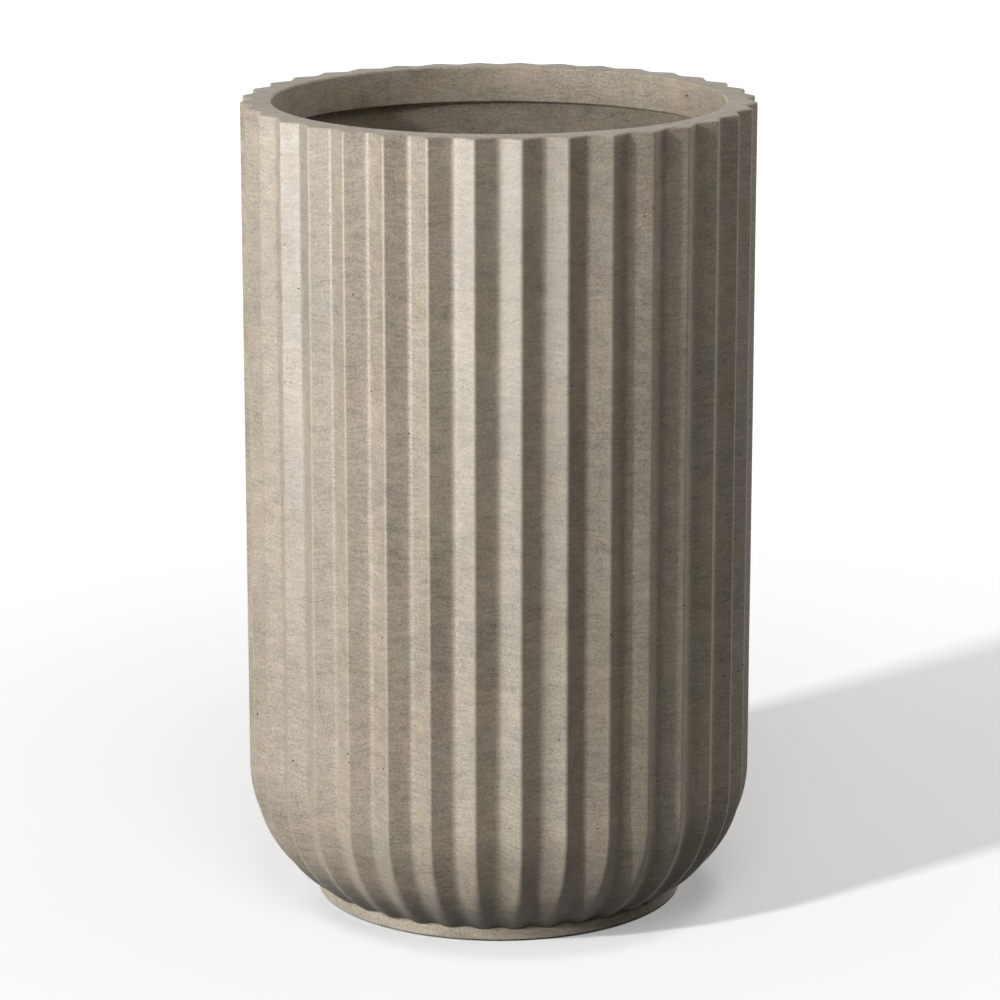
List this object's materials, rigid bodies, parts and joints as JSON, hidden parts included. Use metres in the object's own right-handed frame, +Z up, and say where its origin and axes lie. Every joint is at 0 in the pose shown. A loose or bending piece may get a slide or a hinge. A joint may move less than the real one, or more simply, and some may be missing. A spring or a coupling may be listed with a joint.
{
  "type": "column planter",
  "caption": "Tall round planter with sharp vertical flutes, a rounded bottom on a low round foot, a thick lip inside the mouth and a drain with a lift-out plug.",
  "frame": {"origin": "on the floor under the planter's axis", "axes": "+Z up along the axis, -Y to the front, where a groove between two flutes faces the viewer"},
  "size_m": [0.3982, 0.3982, 0.636],
  "materials": {
    "concrete": "fine cast concrete, matt, with faint horizontal streaks, small pinholes and pale worn ridges",
    "foot_concrete": "fine cast concrete, matt, a little paler than the body",
    "sleeve_plastic": "dark grey moulded plastic",
    "plug_rubber": "black moulded rubber",
    "pad_rubber": "black rubber sheet"
  },
  "bodies": {
    "pot": {"planter_shell": "concrete", "foot_disc": "foot_concrete", "drain_sleeve": "sleeve_plastic", "foot_pads": "pad_rubber"},
    "plug": {"drain_plug": "plug_rubber"}
  },
  "joints": [
    {"name": "plug_lift", "type": "slide", "parent": "pot", "child": "plug", "axis": [0, 0, 1], "range_m": [0, 0.06]}
  ]
}
